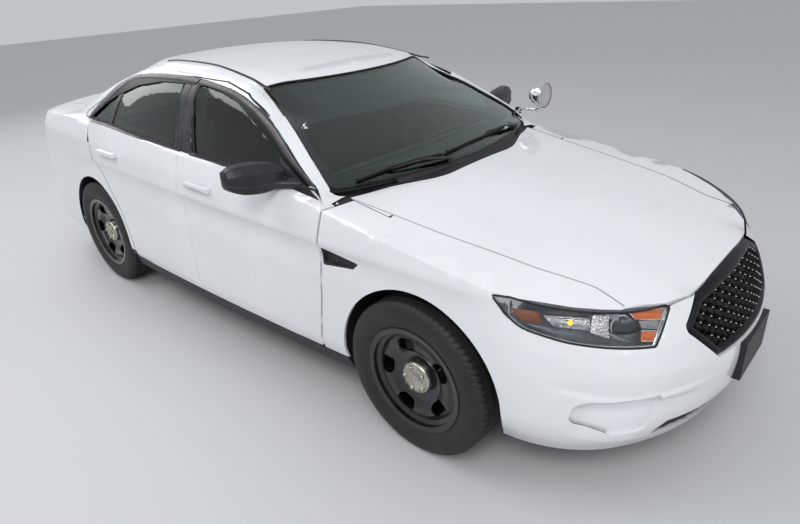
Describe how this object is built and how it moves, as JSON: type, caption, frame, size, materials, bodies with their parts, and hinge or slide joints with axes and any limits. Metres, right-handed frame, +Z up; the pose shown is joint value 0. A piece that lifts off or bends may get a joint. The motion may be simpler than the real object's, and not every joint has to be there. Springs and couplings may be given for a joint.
{
  "type": "four-door patrol car",
  "caption": "White full-size four-door patrol car with black steel wheels, tinted glass, a hexagonal grille and an A-pillar spotlight.",
  "frame": {"origin": "on the ground under the middle of the car's length and width", "axes": "+Z up, the nose towards -Y, the car's left side towards +X"},
  "size_m": [2.21, 5.1538, 1.5421],
  "materials": {
    "white_paint": "glossy white body paint",
    "black_paint": "satin black paint",
    "steel_wheel": "black painted steel",
    "chassis_steel": "dull dark steel",
    "engine": "rough cast",
    "exhaust_steel": "dull stainless",
    "tinted_glass": "dark green tint",
    "windscreen_glass": "clear, faint green",
    "black_plastic": "grained black",
    "gloss_black": "gloss black",
    "lamp_clear": "clear moulded lens",
    "lamp_red": "red lens",
    "dash_plastic": "grey grained",
    "cloth": "dark woven cloth",
    "vinyl": "dark vinyl",
    "tyre": "black rubber",
    "chrome": "bright"
  },
  "bodies": {
    "chassis": {"floor_pan": "chassis_steel", "front_frame": "chassis_steel", "front_suspension": "chassis_steel", "rear_suspension": "chassis_steel", "engine_block": "engine", "exhaust": "exhaust_steel", "body_shell": "white_paint", "roof_panel": "white_paint", "fenders": "white_paint", "front_bumper": "white_paint", "rear_bumper": "white_paint", "grille": "gloss_black", "headlamps": "lamp_clear", "tail_lamps": "lamp_red", "cowl_panel": "black_plastic", "windshield": "windscreen_glass", "rear_glass": "tinted_glass", "dashboard": "dash_plastic", "steering_wheel": "black_plastic", "front_seats": "cloth", "rear_bench": "vinyl", "wipers": "black_plastic", "wheel_liners": "black_plastic", "plate_bracket": "black_plastic", "fender_vents": "black_plastic", "sill_mouldings": "black_plastic", "spotlight_arm": "chrome"},
    "front_door_left_assembly": {"front_door_left": "white_paint", "front_door_glass_left": "tinted_glass", "mirror_left": "black_plastic"},
    "rear_door_left_assembly": {"rear_door_left": "white_paint", "rear_door_glass_left": "tinted_glass"},
    "front_wheel_left_assembly": {"front_tyre_left": "tyre", "front_wheel_left": "steel_wheel"},
    "rear_wheel_left_assembly": {"rear_tyre_left": "tyre", "rear_wheel_left": "steel_wheel"},
    "steering_knuckle_left": {"knuckle_left": "chassis_steel"},
    "front_door_right_assembly": {"front_door_right": "white_paint", "front_door_glass_right": "tinted_glass", "mirror_right": "black_plastic"},
    "rear_door_right_assembly": {"rear_door_right": "white_paint", "rear_door_glass_right": "tinted_glass"},
    "front_wheel_right_assembly": {"front_tyre_right": "tyre", "front_wheel_right": "steel_wheel"},
    "rear_wheel_right_assembly": {"rear_tyre_right": "tyre", "rear_wheel_right": "steel_wheel"},
    "steering_knuckle_right": {"knuckle_right": "chassis_steel"},
    "hood_assembly": {"hood": "white_paint"},
    "trunk_assembly": {"trunk_lid": "white_paint"},
    "spotlight_head": {"spotlight": "black_paint"}
  },
  "joints": [
    {"name": "front_door_left_hinge", "type": "hinge", "parent": "chassis", "child": "front_door_left_assembly", "pos_m": [0.966, -0.999, 0.7], "axis": [0, 0, -1], "range_deg": [0, 65]},
    {"name": "rear_door_left_hinge", "type": "hinge", "parent": "chassis", "child": "rear_door_left_assembly", "pos_m": [0.966, 0.117, 0.7], "axis": [0, 0, -1], "range_deg": [0, 65]},
    {"name": "front_door_right_hinge", "type": "hinge", "parent": "chassis", "child": "front_door_right_assembly", "pos_m": [-0.966, -0.999, 0.7], "axis": [0, 0, 1], "range_deg": [0, 65]},
    {"name": "rear_door_right_hinge", "type": "hinge", "parent": "chassis", "child": "rear_door_right_assembly", "pos_m": [-0.966, 0.117, 0.7], "axis": [0, 0, 1], "range_deg": [0, 65]},
    {"name": "hood_hinge", "type": "hinge", "parent": "chassis", "child": "hood_assembly", "pos_m": [0, -0.987, 1.048], "axis": [-1, 0, 0], "range_deg": [0, 50]},
    {"name": "trunk_hinge", "type": "hinge", "parent": "chassis", "child": "trunk_assembly", "pos_m": [0, 1.863, 1.178], "axis": [1, 0, 0], "range_deg": [0, 75]},
    {"name": "spotlight_swivel", "type": "hinge", "parent": "chassis", "child": "spotlight_head", "pos_m": [0.905, -1.021, 1.12], "axis": [0, 0, 1], "range_deg": [-90, 90]},
    {"name": "steer_left", "type": "hinge", "parent": "chassis", "child": "steering_knuckle_left", "pos_m": [0.74, -1.523, 0.3634], "axis": [0, 0, 1], "range_deg": [-33, 33]},
    {"name": "steer_right", "type": "hinge", "parent": "chassis", "child": "steering_knuckle_right", "pos_m": [-0.74, -1.523, 0.3634], "axis": [0, 0, 1], "range_deg": [-33, 33]},
    {"name": "front_wheel_left_spin", "type": "hinge", "parent": "steering_knuckle_left", "child": "front_wheel_left_assembly", "pos_m": [0.8295, -1.523, 0.3634], "axis": [1, 0, 0], "continuous": true},
    {"name": "front_wheel_right_spin", "type": "hinge", "parent": "steering_knuckle_right", "child": "front_wheel_right_assembly", "pos_m": [-0.8295, -1.523, 0.3634], "axis": [1, 0, 0], "continuous": true},
    {"name": "rear_wheel_left_spin", "type": "hinge", "parent": "chassis", "child": "rear_wheel_left_assembly", "pos_m": [0.8295, 1.345, 0.3634], "axis": [1, 0, 0], "continuous": true},
    {"name": "rear_wheel_right_spin", "type": "hinge", "parent": "chassis", "child": "rear_wheel_right_assembly", "pos_m": [-0.8295, 1.345, 0.3634], "axis": [1, 0, 0], "continuous": true}
  ],
  "couplings": [
    {"joint": "steer_right", "follows": "steer_left", "ratio": 1}
  ]
}
